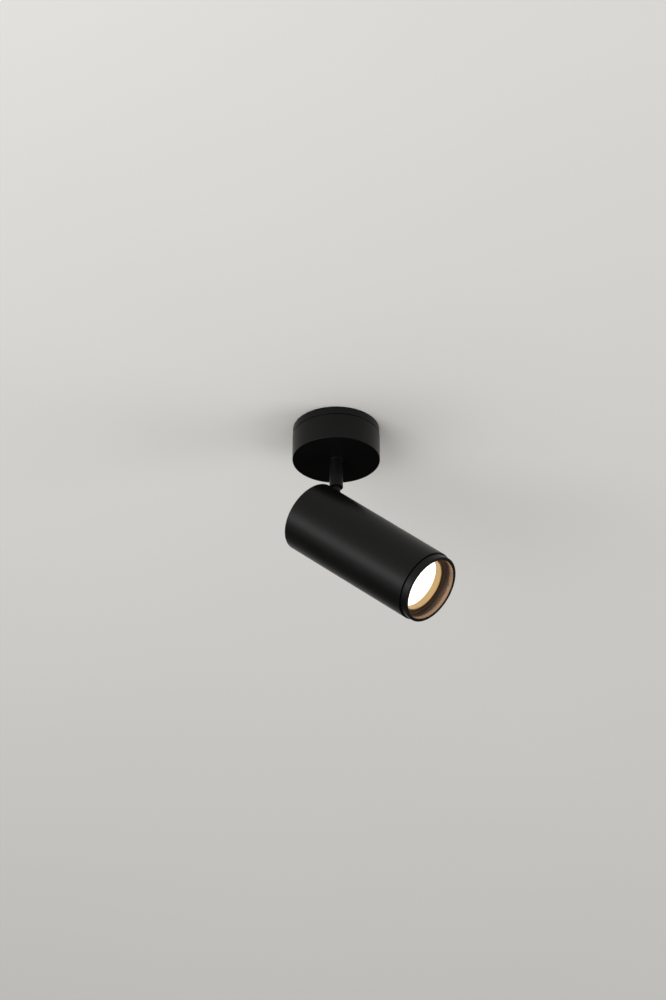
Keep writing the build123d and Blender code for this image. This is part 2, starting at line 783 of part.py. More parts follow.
board_plane = head_section.offset(base_front + lamp_wall)
with BuildPart() as lamp_board:
    rod(board_plane, board_diameter / 2, board_thickness)
    rod(board_plane.offset(board_thickness), chip_diameter / 2, chip_thickness)
save(lamp_board, "lamp_board")

with BuildPart() as lamp_lens:
    rod(head_section.offset(lens_back), lens_radius - press_fit, lens_thickness)
save(lamp_lens, "lamp_lens")

# Bezel: a ring that plugs into the tube, with a web that carries the lamp ring
web_bore_radius = ring_outer_radius + press_fit
bezel_seat = front_length + bezel_seam
spigot_back = front_length - spigot_length
o_ring_place = web_back + bezel_web / 2
o_ring_radius = o_ring_thickness / 2
o_ring_circle = front_bore_radius - o_ring_clearance - o_ring_radius
groove_half = o_ring_radius + press_fit
groove_radius = o_ring_circle - o_ring_radius - press_fit
with BuildPart() as front_bezel:
    turned([
        (spigot_back, opening_radius),
        (spigot_back, spigot_radius),
        (o_ring_place - groove_half, spigot_radius),
        (o_ring_place - groove_half, groove_radius),
        (o_ring_place + groove_half, groove_radius),
        (o_ring_place + groove_half, spigot_radius),
        (bezel_seat, spigot_radius),
        (bezel_seat, bezel_radius),
        (mouth - bezel_edge, bezel_radius),
        (mouth, bezel_radius - bezel_edge),
        (mouth, opening_radius),
        (web_front, opening_radius),
        (web_front, web_bore_radius),
        (web_back, web_bore_radius),
        (web_back, opening_radius),
    ], head_profile, head_axis)
save(front_bezel, "front_bezel")

with BuildPart() as lamp_ring:
    turned([
        (lamp_ring_back, ring_bore_radius),
        (web_front, ring_bore_radius),
        (web_front, ring_outer_radius),
        (web_back, ring_outer_radius),
        (web_back, ring_flange_radius),
        (lamp_ring_back, ring_flange_radius),
    ], head_profile, head_axis)
save(lamp_ring, "lamp_ring")

with BuildPart() as bezel_o_ring:
    with BuildSketch(head_profile):
        with Locations((o_ring_place, o_ring_circle)):
            Circle(o_ring_radius)
    revolve(axis=head_axis)
save(bezel_o_ring, "bezel_o_ring")

# Cable and cores from the top of the nipple to the terminal block
lead_end = cable_bend + core_diameter
with BuildPart() as stem_lead:
    with BuildLine(Plane.YZ):
        FilletPolyline((0, nipple_top), (0, block_level), (lead_end, block_level), radius=cable_bend)
    with BuildSketch(Plane.XY.offset(nipple_top)):
        Circle(cable_radius)
    sweep()
save(stem_lead, "stem_lead")

core_run = (block_near_side - lead_end) / 3
core_tip = block_near_side + pole_depth - core_diameter
core_plane = Plane(origin=(0, lead_end, block_level), x_dir=(1, 0, 0), z_dir=(0, 0, 1))
core_end = core_tip - lead_end

with BuildPart() as wire_neutral:
    with BuildSketch(Plane(origin=(0, lead_end, block_level), x_dir=(1, 0, 0), z_dir=(0, 1, 0))):
        Circle(core_diameter / 2)
    extrude(amount=core_end)
save(wire_neutral, "wire_neutral")

for name, side in (("wire_live", -1), ("wire_earth", 1)):
    with BuildPart() as wire:
        core_start = side * (core_circle + core_diameter / 2)
        core_side = side * pole_spacing
        with BuildLine(core_plane):
            FilletPolyline(
                (core_start, 0),
                (core_start, core_run),
                (core_side, 2 * core_run),
                (core_side, core_end),
                radius=core_bend,
            )
        with BuildSketch(Plane(origin=(core_start, lead_end, block_level), x_dir=(1, 0, 0), z_dir=(0, 1, 0))):
            Circle(core_diameter / 2)
        sweep()
    save(wire, name)
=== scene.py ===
import json
from math import cos, pi, radians, sin

import bpy
from mathutils import Matrix, Vector


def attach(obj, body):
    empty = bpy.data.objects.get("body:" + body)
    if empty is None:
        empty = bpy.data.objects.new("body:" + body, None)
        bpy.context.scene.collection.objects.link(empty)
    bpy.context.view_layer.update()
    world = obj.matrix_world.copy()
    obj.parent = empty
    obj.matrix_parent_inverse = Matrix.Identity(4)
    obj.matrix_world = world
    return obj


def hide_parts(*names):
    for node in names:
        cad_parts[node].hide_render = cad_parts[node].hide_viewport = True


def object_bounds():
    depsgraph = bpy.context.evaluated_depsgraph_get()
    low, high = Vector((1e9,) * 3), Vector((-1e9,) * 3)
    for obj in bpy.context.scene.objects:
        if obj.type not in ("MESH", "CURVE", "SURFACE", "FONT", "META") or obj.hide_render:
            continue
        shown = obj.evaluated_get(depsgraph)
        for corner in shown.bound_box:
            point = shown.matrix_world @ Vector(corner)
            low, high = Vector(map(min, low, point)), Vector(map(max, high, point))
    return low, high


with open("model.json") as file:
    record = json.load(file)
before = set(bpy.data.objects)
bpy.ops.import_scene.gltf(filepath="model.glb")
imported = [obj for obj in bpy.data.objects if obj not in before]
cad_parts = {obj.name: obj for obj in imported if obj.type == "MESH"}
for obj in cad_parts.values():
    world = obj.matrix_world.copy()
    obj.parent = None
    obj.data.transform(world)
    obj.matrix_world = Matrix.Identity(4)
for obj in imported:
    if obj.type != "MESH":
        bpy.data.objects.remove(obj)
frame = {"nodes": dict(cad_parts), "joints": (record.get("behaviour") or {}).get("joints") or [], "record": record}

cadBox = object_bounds()
scene = bpy.context.scene
mm = 0.001

# places shared by all pieces, from the frame's own joints and mounts
joints = {joint["name"]: joint for joint in frame["joints"]}
mounts = {mount["name"]: mount for mount in frame["record"]["mounts"]}
screwSlots = mounts["ceiling_screws"]["dims"]
cableEntry = mounts["supply_cable_entry"]
pivot = Vector(joints["tilt"]["pos_m"])
aim = Vector(joints["lamp_twist"]["axis"])  # the way the head points
upper = Vector((-aim.z, 0, aim.x))  # square to it, on the head's upper side
across = Vector((0, 1, 0))  # the tilt axis
down = Vector((0, 0, -1))
canopyLathe = {"origin": Vector((0, 0, 0)), "axis": Vector((0, 0, 1)), "side": Vector((1, 0, 0))}
headLathe = {"origin": pivot, "axis": aim, "side": -upper}
pivotLathe = {"origin": pivot, "axis": across, "side": aim}
print("frame loaded,", len(frame["nodes"]), "nodes")


class Wire:  # one node tree, or one output socket in it

    def __init__(self, tree, socket=None):
        self.tree = tree
        self.socket = socket

    def make(self, kind, settings=None, inputs=None, output=0):
        node = self.tree.nodes.new(kind)
        for key, value in (settings or {}).items():
            setattr(node, key, value)
        for key, value in (inputs or {}).items():
            if isinstance(value, Wire):
                self.tree.links.new(value.socket, node.inputs[key])
            else:
                node.inputs[key].default_value = value
        return Wire(self.tree, node.outputs[output] if len(node.outputs) else None)

    def maths(self, operation, first, second):
        return self.make("ShaderNodeMath", {"operation": operation}, {0: first, 1: second})

    def vectors(self, operation, first, second=(0, 0, 0), output="Vector"):
        return self.make("ShaderNodeVectorMath", {"operation": operation}, {0: first, 1: second}, output)

    def __add__(self, other):
        return self.maths("ADD", self, other)

    def __radd__(self, other):
        return self.maths("ADD", other, self)

    def __sub__(self, other):
        return self.maths("SUBTRACT", self, other)

    def __rsub__(self, other):
        return self.maths("SUBTRACT", other, self)

    def __mul__(self, other):
        return self.maths("MULTIPLY", self, other)

    def __rmul__(self, other):
        return self.maths("MULTIPLY", other, self)

    def __gt__(self, other):
        return self.maths("GREATER_THAN", self, other)


def newMaterial(name):
    material = bpy.data.materials.new(name)
    material.use_nodes = True
    material.node_tree.nodes.clear()
    return material, Wire(material.node_tree)


def objectPlace(wire):
    return wire.make("ShaderNodeTexCoord", output="Object")


def noise(wire, where, scale, detail=2.0):
    return wire.make("ShaderNodeTexNoise", inputs={"Vector": where, "Scale": scale, "Detail": detail})


def streaks(wire, along, scale, detail=3.0, rough=0.6):  # noise that changes along one value only
    return wire.make("ShaderNodeTexNoise", {"noise_dimensions": "1D"},
                     {"W": along, "Scale": scale, "Detail": detail, "Roughness": rough})


def alongAxis(wire, where, lathe):  # how far along the lathe's axis
    moved = wire.vectors("SUBTRACT", where, lathe["origin"])
    return wire.vectors("DOT_PRODUCT", moved, lathe["axis"], "Value")


def outFrom(wire, where, lathe):  # how far out from the lathe's axis
    moved = wire.vectors("SUBTRACT", where, lathe["origin"])
    crossed = wire.vectors("CROSS_PRODUCT", moved, lathe["axis"])
    return wire.vectors("LENGTH", crossed, output="Value")


def weigh(first, second, share):  # this share of the first, and the rest from the second
    return first * share + second * (1 - share)


def between(low, high, amount):
    return amount * (high - low) + low


def blendColours(wire, factor, first, second):
    return wire.make("ShaderNodeMix", {"data_type": "RGBA"},
                     {"Factor": factor, "A": (*first, 1), "B": (*second, 1)}, "Result")


def bumps(wire, height, strength, depth):
    return wire.make("ShaderNodeBump", inputs={
        "Strength": strength, "Distance": depth * mm, "Height": height})


def surface(wire, shader):
    wire.make("ShaderNodeOutputMaterial", inputs={"Surface": shader})


def principled(wire, sockets):
    surface(wire, wire.make("ShaderNodeBsdfPrincipled", inputs=sockets))


# plain finishes: two tones, how rough and how metallic, how fine the grain and the clouds of
# tone are, and the grain's bump with its depth in mm
usualGloss = 0.5
finishes = {
    "black_screws": {"tones": ((0.012, 0.012, 0.013), (0.03, 0.03, 0.031)), "rough": (0.3, 0.45),
                     "metal": 0.6, "grain": 3000, "cloud": 200, "bump": 0.1, "depth": 0.03},
    "zinc_steel": {"tones": ((0.42, 0.43, 0.45), (0.66, 0.66, 0.66)), "rough": (0.22, 0.4),
                   "metal": 1.0, "grain": 1500, "cloud": 120, "bump": 0.1, "depth": 0.03},
    "brass": {"tones": ((0.60, 0.42, 0.17), (0.80, 0.62, 0.30)), "rough": (0.2, 0.36),
              "metal": 1.0, "grain": 1800, "cloud": 150, "bump": 0.1, "depth": 0.03},
    "cast_alloy": {"tones": ((0.40, 0.40, 0.41), (0.60, 0.60, 0.61)), "rough": (0.45, 0.62),
                   "metal": 1.0, "grain": 1200, "cloud": 60, "bump": 0.35, "depth": 0.12},
    "black_nylon": {"tones": ((0.004, 0.004, 0.004), (0.009, 0.009, 0.009)), "rough": (0.45, 0.6),
                    "metal": 0.0, "grain": 2500, "cloud": 150, "bump": 0.15, "depth": 0.04,
                    "gloss": 0.25},
    "white_plastic": {"tones": ((0.74, 0.73, 0.68), (0.85, 0.84, 0.80)), "rough": (0.4, 0.52),
                      "metal": 0.0, "grain": 2500, "cloud": 90, "bump": 0.12, "depth": 0.04},
    "holder_ceramic": {"tones": ((0.74, 0.70, 0.62), (0.86, 0.83, 0.76)), "rough": (0.5, 0.7),
                       "metal": 0.0, "grain": 1600, "cloud": 120, "bump": 0.3, "depth": 0.06},
    "black_rubber": {"tones": ((0.014, 0.014, 0.014), (0.03, 0.03, 0.03)), "rough": (0.6, 0.78),
                     "metal": 0.0, "grain": 1800, "cloud": 120, "bump": 0.25, "depth": 0.05},
    "cable_jacket": {"tones": ((0.72, 0.72, 0.69), (0.82, 0.82, 0.80)), "rough": (0.42, 0.55),
                     "metal": 0.0, "grain": 2200, "cloud": 150, "bump": 0.15, "depth": 0.04},
    "brown_wire": {"tones": ((0.15, 0.06, 0.025), (0.22, 0.10, 0.045)), "rough": (0.4, 0.5),
                   "metal": 0.0, "grain": 2200, "cloud": 200, "bump": 0.1, "depth": 0.03},
    "blue_wire": {"tones": ((0.035, 0.12, 0.42), (0.06, 0.18, 0.52)), "rough": (0.4, 0.5),
                  "metal": 0.0, "grain": 2200, "cloud": 200, "bump": 0.1, "depth": 0.03},
    "lamp_shell": {"tones": ((0.68, 0.68, 0.68), (0.82, 0.82, 0.82)), "rough": (0.28, 0.42),
                   "metal": 1.0, "grain": 1500, "cloud": 80, "bump": 0.12, "depth": 0.04},
    "led_board": {"tones": ((0.82, 0.82, 0.80), (0.92, 0.92, 0.90)), "rough": (0.3, 0.42),
                  "metal": 0.0, "grain": 1500, "cloud": 200, "bump": 0.12, "depth": 0.03},
}


def plainFinish(name, look):
    material, wire = newMaterial(name)
    where = objectPlace(wire)
    grain = noise(wire, where, look["grain"], detail=3.0)
    cloud = noise(wire, where, look["cloud"])
    principled(wire, {
        "Base Color": blendColours(wire, cloud, *look["tones"]),
        "Metallic": look["metal"],
        "Specular IOR Level": look.get("gloss", usualGloss),
        "Roughness": between(*look["rough"], grain),
        "Normal": bumps(wire, grain, look["bump"], look["depth"]),
    })
    return material


# satin powder coat: soft orange peel, with a finer grain on it
paintLook = {"tones": ((0.0026, 0.0026, 0.0026), (0.0034, 0.0033, 0.0032)), "rough": (0.30, 0.40),
             "gloss": 0.18, "peel": 700, "grain": 3200, "cloud": 40, "peelShare": 0.7, "cloudShare": 0.5,
             "bump": 0.08, "depth": 0.06}


def blackPaint():
    material, wire = newMaterial("black_paint")
    where = objectPlace(wire)
    peel = noise(wire, where, paintLook["peel"])
    grain = noise(wire, where, paintLook["grain"])
    cloud = noise(wire, where, paintLook["cloud"], detail=3.0)
    height = weigh(peel, grain, paintLook["peelShare"])
    principled(wire, {
        "Base Color": blendColours(wire, cloud, *paintLook["tones"]),
        "Specular IOR Level": paintLook["gloss"],
        "Roughness": between(*paintLook["rough"], weigh(cloud, grain, paintLook["cloudShare"])),
        "Normal": bumps(wire, height, paintLook["bump"], paintLook["depth"]),
    })
    return material


# satin gold with the fine rings that the lathe leaves
goldLook = {"tones": ((0.36, 0.24, 0.11), (0.50, 0.365, 0.185)), "rough": (0.45, 0.6), "rings": 5000,
            "cloud": 90, "ringShare": 0.5, "bump": 0.15, "depth": 0.03}


def goldRing():
    material, wire = newMaterial("gold_ring")
    where = objectPlace(wire)
    along = alongAxis(wire, where, headLathe)
    out = outFrom(wire, where, headLathe)
    rings = streaks(wire, along + out, goldLook["rings"])
    cloud = noise(wire, where, goldLook["cloud"])
    tone = weigh(rings, cloud, goldLook["ringShare"])
    principled(wire, {
        "Base Color": blendColours(wire, tone, *goldLook["tones"]),
        "Metallic": 1.0,
        "Roughness": between(*goldLook["rough"], rings),
        "Normal": bumps(wire, rings, goldLook["bump"], goldLook["depth"]),
    })
    return material


# opal cover of the lamp, hottest in the middle
opalLook = {"cover": ((0.95, 0.92, 0.86), (0.90, 0.85, 0.76)), "rough": (0.3, 0.45), "pebbles": 900,
            "bump": 0.2, "depth": 0.05, "glow": ((1.0, 0.86, 0.66), (1.0, 0.985, 0.96)),
            "hot": 21.0, "rim": 24.3, "strength": 1.25}


def lampOpal():
    material, wire = newMaterial("lamp_opal")
    where = objectPlace(wire)
    pebbles = noise(wire, where, opalLook["pebbles"], detail=1.0)
    middle = wire.make("ShaderNodeMapRange", {"interpolation_type": "SMOOTHSTEP"}, {
        "Value": outFrom(wire, where, headLathe),
        "From Min": opalLook["rim"] * mm,
        "From Max": opalLook["hot"] * mm,
    })
    principled(wire, {
        "Base Color": blendColours(wire, pebbles, *opalLook["cover"]),
        "Roughness": between(*opalLook["rough"], pebbles),
        "Emission Color": blendColours(wire, middle, *opalLook["glow"]),
        "Emission Strength": opalLook["strength"],
        "Normal": bumps(wire, pebbles, opalLook["bump"], opalLook["depth"]),
    })
    return material


# earth core: a green jacket, with its yellow stripe above this level
earthLook = {"green": (0.12, 0.36, 0.06), "yellow": (0.75, 0.62, 0.06), "level": -8.4, "rough": (0.4, 0.5),
             "grain": 2200, "bump": 0.1, "depth": 0.03}


def greenWire():
    material, wire = newMaterial("green_wire")
    where = objectPlace(wire)
    grain = noise(wire, where, earthLook["grain"])
    height = wire.make("ShaderNodeSeparateXYZ", inputs={"Vector": where}, output="Z")
    stripe = height > earthLook["level"] * mm
    principled(wire, {
        "Base Color": blendColours(wire, stripe, earthLook["green"], earthLook["yellow"]),
        "Roughness": between(*earthLook["rough"], grain),
        "Normal": bumps(wire, grain, earthLook["bump"], earthLook["depth"]),
    })
    return material


materials = {slot: plainFinish(slot, look) for slot, look in finishes.items()}
materials["black_paint"] = blackPaint()
materials["gold_ring"] = goldRing()
materials["lamp_opal"] = lampOpal()
materials["green_wire"] = greenWire()
slotOf = {item["node"]: item["material_slot"] for item in frame["record"]["subparts"]}
bodyOf = {node: body for body, nodes in frame["record"]["behaviour"]["bodies"].items() for node in nodes}
for node, part in frame["nodes"].items():
    part.data.materials.clear()
    part.data.materials.append(materials[slotOf[node]])
print("materials made:", len(materials))

weld = mm / 1000  # points closer than this are one
sharpEdge = radians(35)  # an edge that turns more than this is rounded
smoothTurn = radians(30)  # faces that turn less than this are shaded as one


def clearSelection():
    bpy.ops.object.select_all(action="DESELECT")


def pickPiece(piece):
    clearSelection()
    piece.select_set(True)
    bpy.context.view_layer.objects.active = piece


def settle():  # the new object's place goes into its mesh
    bpy.ops.object.transform_apply(location=True, rotation=True, scale=True)
    return bpy.context.object


def roundEdges(piece, edge, segments=3):
    bpy.context.view_layer.objects.active = piece
    bevel = piece.modifiers.new("edge", "BEVEL")
    bevel.width = edge * mm
    bevel.segments = segments
    bevel.limit_method = "ANGLE"
    bevel.angle_limit = sharpEdge
    bpy.ops.object.modifier_apply(modifier="edge")


def pickPoints(piece, wanted):  # goes into edit mode with only these points selected
    bpy.ops.object.mode_set(mode="EDIT")
    bpy.ops.mesh.select_mode(type="VERT")
    bpy.ops.mesh.select_all(action="DESELECT")
    bpy.ops.object.mode_set(mode="OBJECT")
    for point in piece.data.vertices:
        point.select = wanted(point.co)
    bpy.ops.object.mode_set(mode="EDIT")


def drawOutline(name, spots, closed):
    clearSelection()
    bpy.ops.mesh.primitive_plane_add(size=mm, location=spots[0])
    piece = settle()
    piece.name = name
    bpy.ops.object.mode_set(mode="EDIT")
    bpy.ops.mesh.select_all(action="SELECT")
    bpy.ops.mesh.merge(type="CENTER")  # down to the outline's first point
    last = spots[0]
    stops = spots[1:] + spots[:1] if closed else spots[1:]
    for stop in stops:
        bpy.ops.mesh.extrude_region_move(TRANSFORM_OT_translate={"value": stop - last})
        last = stop
    bpy.ops.mesh.select_all(action="SELECT")
    bpy.ops.mesh.remove_doubles(threshold=weld)
    return piece  # still in edit mode


def turnPiece(name, lathe, outline, edge=0.0, steps=192):  # outline points: along the axis, out from it
    spots = [lathe["origin"] + (lathe["axis"] * along + lathe["side"] * out) * mm for along, out in outline]
    solid = outline[0][1] == 0 and outline[-1][1] == 0  # starts and ends on the axis, so it stays open
    piece = drawOutline(name, spots, not solid)
    bpy.ops.mesh.spin(steps=steps, angle=2 * pi, center=lathe["origin"], axis=lathe["axis"])
    bpy.ops.mesh.select_all(action="SELECT")
    bpy.ops.mesh.remove_doubles(threshold=weld)
    bpy.ops.mesh.normals_make_consistent(inside=False)
    bpy.ops.object.mode_set(mode="OBJECT")
    if edge:
        roundEdges(piece, edge)
    if solid:  # the fan of triangles at each end becomes one flat face
        pickPoints(piece, lambda spot: (spot - lathe["origin"]).cross(lathe["axis"]).length < weld)
        bpy.ops.mesh.dissolve_verts()
        bpy.ops.object.mode_set(mode="OBJECT")
    return piece


def rod(middle, axis, radius, depth, sides=48):
    clearSelection()
    turn = axis.to_track_quat("Z", "Y").to_euler()
    bpy.ops.mesh.primitive_cylinder_add(vertices=sides, radius=radius * mm, depth=depth * mm,
                                        location=middle, rotation=turn)
    return settle()


def longRod(start, axis, way, radius, depth, stretch, steps=24):  # a rod drawn out into a slot's shape
    side = axis.cross(way)
    spots = []
    for middle, first in ((start + way * stretch * mm, -90), (start, 90)):  # a half circle at each end
        for step in range(steps + 1):
            angle = radians(first + 180 * step / steps)
            corner = (way * cos(angle) + side * sin(angle)) * radius * mm
            spots.append(middle + corner - axis * depth / 2 * mm)
    piece = drawOutline("longRod", spots, True)
    bpy.ops.mesh.edge_face_add()
    bpy.ops.mesh.extrude_region_move(TRANSFORM_OT_translate={"value": axis * depth * mm})
    bpy.ops.mesh.select_all(action="SELECT")
    bpy.ops.mesh.normals_make_consistent(inside=False)
    bpy.ops.object.mode_set(mode="OBJECT")
    return piece


def block(low, high, lathe):  # a box by its corners: along the lathe's axis, along its side and across both
    along, side, cross = [(first + second) / 2 for first, second in zip(low, high)]
    length, width, breadth = [(second - first) * mm for first, second in zip(low, high)]
    third = lathe["axis"].cross(lathe["side"])
    middle = lathe["origin"] + (lathe["axis"] * along + lathe["side"] * side + third * cross) * mm
    turn = Matrix((lathe["side"], third, lathe["axis"])).transposed().to_euler()
    clearSelection()
    bpy.ops.mesh.primitive_cube_add(size=1, location=middle, scale=(width, breadth, length), rotation=turn)
    return settle()


def combine(piece, other, operation="DIFFERENCE"):
    cut = piece.modifiers.new("cut", "BOOLEAN")
    cut.operation = operation
    cut.solver = "EXACT"
    cut.object = other
    clearSelection()
    bpy.context.view_layer.objects.active = piece
    bpy.ops.object.modifier_apply(modifier="cut")
    bpy.data.objects.remove(other)


def finishPiece(piece, node):
    pickPiece(piece)
    bpy.ops.object.mode_set(mode="EDIT")
    bpy.ops.mesh.select_all(action="SELECT")
    bpy.ops.mesh.remove_doubles(threshold=weld)  # slivers that the cuts leave
    bpy.ops.mesh.dissolve_degenerate(threshold=weld)
    bpy.ops.object.mode_set(mode="OBJECT")
    bpy.ops.object.shade_smooth_by_angle(angle=smoothTurn)
    flats = piece.modifiers.new("flats", "WEIGHTED_NORMAL")  # broad faces stay flat beside rounded edges
    flats.keep_sharp = True
    bpy.ops.object.modifier_apply(modifier="flats")
    piece.data.materials.clear()
    piece.data.materials.append(materials[slotOf[node]])
    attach(piece, bodyOf[node])
    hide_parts(node)
    print("made", piece.name, len(piece.data.polygons), "faces")


# canopy: the plate on the ceiling, with its screw slots, cable entry and fixing holes
plate = {"radius": 36.0, "height": 6.5, "thick": 2.5, "skirt": 34.65, "skirtBore": 32.15, "skirtEnd": 13.3,
         "edge": 0.3, "entryHole": 6.55, "fixings": ((-4.0, 21.0), (4.0, 21.0)), "fixingHole": 1.3,
         "earth": (-20.0, -8.0), "earthHole": 2.05, "blind": 1.8, "blindSides": 24}
grub = {"turn": 20.8, "height": -10.3, "plateHole": 1.55, "coverHole": 1.7, "reach": 80.0, "sides": 32}
grubMiddle = Vector((0, 0, grub["height"])) * mm
grubAxis = Vector((cos(radians(grub["turn"])), sin(radians(grub["turn"])), 0))
entryMiddle = Vector((*cableEntry["pos_m"][:2], 0))
piece = turnPiece("basePlate", canopyLathe, [
    (0, 0), (0, plate["radius"]), (-plate["height"], plate["radius"]), (-plate["height"], plate["skirt"]),
    (-plate["skirtEnd"], plate["skirt"]), (-plate["skirtEnd"], plate["skirtBore"]),
    (-plate["thick"], plate["skirtBore"]), (-plate["thick"], 0)], plate["edge"])
through = 4 * plate["thick"]  # a cutter this deep goes right through the plate
slotRun = screwSlots["slot_length_mm"] - 2 * screwSlots["hole_r_mm"]
for way in (-1, 1):
    start = Vector((way * screwSlots["spacing_x_mm"] / 2 - slotRun / 2, 0, 0)) * mm
    combine(piece, longRod(start, down, canopyLathe["side"], screwSlots["hole_r_mm"], through, slotRun))
combine(piece, rod(entryMiddle, down, plate["entryHole"], through))
combine(piece, rod(grubMiddle, grubAxis, grub["plateHole"], grub["reach"], grub["sides"]))
blindHoles = [(spot, plate["fixingHole"]) for spot in plate["fixings"]]
blindHoles.append((plate["earth"], plate["earthHole"]))
for (x, y), hole in blindHoles:
    spot = Vector((x, y, -plate["thick"])) * mm
    combine(piece, rod(spot, down, hole, 2 * plate["blind"], plate["blindSides"]))
finishPiece(piece, "base_plate")

# canopy: the cup below it
cover = {"radius": 36.3, "bore": 34.8, "top": -7.3, "floor": -28.0, "bottom": -30.0, "stemHole": 5.3,
         "edge": 0.4}
piece = turnPiece("canopyCover", canopyLathe, [
    (cover["bottom"], cover["stemHole"]), (cover["bottom"], cover["radius"]),
    (cover["top"], cover["radius"]), (cover["top"], cover["bore"]),
    (cover["floor"], cover["bore"]), (cover["floor"], cover["stemHole"])], cover["edge"])
combine(piece, rod(grubMiddle, grubAxis, grub["coverHole"], grub["reach"], grub["sides"]))
finishPiece(piece, "canopy_cover")

# rubber grommet in the cable entry
grommet = {"bore": cableEntry["dims"]["r_mm"], "end": -cableEntry["dims"]["length_mm"], "radius": 6.5,
           "flange": 8.5, "seat": -plate["thick"], "edge": 0.45, "steps": 96}
piece = turnPiece("cableGrommet", {**canopyLathe, "origin": entryMiddle}, [
    (0, grommet["bore"]), (0, grommet["radius"]), (grommet["seat"], grommet["radius"]),
    (grommet["seat"], grommet["flange"]), (grommet["end"], grommet["flange"]),
    (grommet["end"], grommet["bore"])], grommet["edge"], grommet["steps"])
finishPiece(piece, "cable_grommet")

# stem: the bush in the cup's hole
bush = {"bore": 4.05, "radius": 5.25, "flange": 5.65, "top": cover["floor"], "seat": cover["bottom"],
        "end": -30.6, "edge": 0.12, "steps": 96}
piece = turnPiece("stemBush", canopyLathe, [
    (bush["end"], bush["bore"]), (bush["end"], bush["flange"]), (bush["seat"], bush["flange"]),
    (bush["seat"], bush["radius"]), (bush["top"], bush["radius"]), (bush["top"], bush["bore"])],
    bush["edge"], bush["steps"])
finishPiece(piece, "stem_bush")

# stem: the sleeve below it, bored for the nipple from above and for the arm from below
sleeve = {"radius": 5.65, "top": bush["end"], "end": -56.6, "nippleBore": 4.05, "nippleEnd": -39.6,
          "bore": 2.0, "armBore": 3.55, "armTop": -46.6, "edge": 0.35, "steps": 96}
piece = turnPiece("stemSleeve", canopyLathe, [
    (sleeve["top"], sleeve["nippleBore"]), (sleeve["top"], sleeve["radius"]),
    (sleeve["end"], sleeve["radius"]), (sleeve["end"], sleeve["armBore"]),
    (sleeve["armTop"], sleeve["armBore"]), (sleeve["armTop"], sleeve["bore"]),
    (sleeve["nippleEnd"], sleeve["bore"]), (sleeve["nippleEnd"], sleeve["nippleBore"])],
    sleeve["edge"], sleeve["steps"])
finishPiece(piece, "stem_sleeve")

# stem: the arm, with an eye on the tilt axis
arm = {"radius": 3.5, "bore": 1.9, "top": sleeve["armTop"], "end": -96.0, "eye": 7.5, "eyeHalf": 7.0,
       "eyeEdge": 0.5, "steps": 96}
piece = turnPiece("pivotArm", canopyLathe, [
    (arm["top"], arm["bore"]), (arm["top"], arm["radius"]),
    (arm["end"], arm["radius"]), (arm["end"], arm["bore"])], steps=arm["steps"])
eye = turnPiece("armEye", pivotLathe, [
    (-arm["eyeHalf"], 0), (-arm["eyeHalf"], arm["eye"]),
    (arm["eyeHalf"], arm["eye"]), (arm["eyeHalf"], 0)], arm["eyeEdge"], arm["steps"])
combine(piece, eye, "UNION")
finishPiece(piece, "pivot_arm")

# head: the long tube, with a slot for the arm at its upper back
tube = {"radius": 30.0, "bore": 27.6, "rearBore": 26.4, "back": -30.0, "rebate": -27.0, "shoulder": 17.1,
        "front": 101.4, "edge": 0.5, "slotHalf": 4.1, "slotLift": 25.0, "slotDepth": 30.0, "slotRun": 50.0,
        "steps": 256}
piece = turnPiece("headTube", headLathe, [
    (tube["back"], tube["bore"]), (tube["back"], tube["radius"]), (tube["front"], tube["radius"]),
    (tube["front"], tube["bore"]), (tube["shoulder"], tube["bore"]), (tube["shoulder"], tube["rearBore"]),
    (tube["rebate"], tube["rearBore"]), (tube["rebate"], tube["bore"])], tube["edge"], tube["steps"])
slotMiddle = pivot + upper * tube["slotLift"] * mm
combine(piece, longRod(slotMiddle, upper, -aim, tube["slotHalf"], tube["slotDepth"], tube["slotRun"]))
finishPiece(piece, "head_tube")

# head: the rear cap, where the slot goes on down to the middle
cap = {"radius": 27.55, "back": tube["back"], "front": tube["rebate"], "edge": 0.25, "slotDepth": 10.0,
       "slotRun": 40.0, "screwLift": -9.0, "screwSide": 15.0, "hole": 1.65, "holeDepth": 10.0,
       "headHole": 2.9, "seat": 2.0}
piece = turnPiece("rearCap", headLathe, [
    (cap["back"], 0), (cap["back"], cap["radius"]),
    (cap["front"], cap["radius"]), (cap["front"], 0)], cap["edge"])
capBack = pivot + aim * cap["back"] * mm
combine(piece, longRod(capBack, aim, upper, tube["slotHalf"], cap["slotDepth"], cap["slotRun"]))
screwSpots = [capBack + (upper * cap["screwLift"] + across * way * cap["screwSide"]) * mm for way in (-1, 1)]
for spot in screwSpots:
    combine(piece, rod(spot, aim, cap["hole"], cap["holeDepth"]))
    combine(piece, rod(spot, aim, cap["headHole"], 2 * cap["seat"]))
finishPiece(piece, "rear_cap")

# head: the cap's two screws, each with a cross cut into its head
screw = {"head": 2.75, "height": 1.6, "shank": 1.5, "length": 10.0, "edge": 0.4, "crossLength": 3.3,
         "crossWidth": 0.8, "crossDepth": 0.8, "crossTop": 1.0, "steps": 64}
screwLathe = {"origin": screwSpots[0] + aim * cap["seat"] * mm, "axis": -aim, "side": -upper}
piece = turnPiece("capScrews", screwLathe, [
    (screw["height"], 0), (screw["height"], screw["head"]), (0, screw["head"]), (0, screw["shank"]),
    (-screw["length"], screw["shank"]), (-screw["length"], 0)], screw["edge"], screw["steps"])
long, wide = screw["crossLength"] / 2, screw["crossWidth"] / 2
bottom, top = screw["height"] - screw["crossDepth"], screw["height"] + screw["crossTop"]
for side, cross in ((long, wide), (wide, long)):
    combine(piece, block((bottom, -side, -cross), (top, side, cross), screwLathe))
pickPiece(piece)
bpy.ops.object.duplicate()  # the second screw, with a mesh of its own
bpy.ops.object.mode_set(mode="EDIT")
bpy.ops.mesh.select_all(action="SELECT")
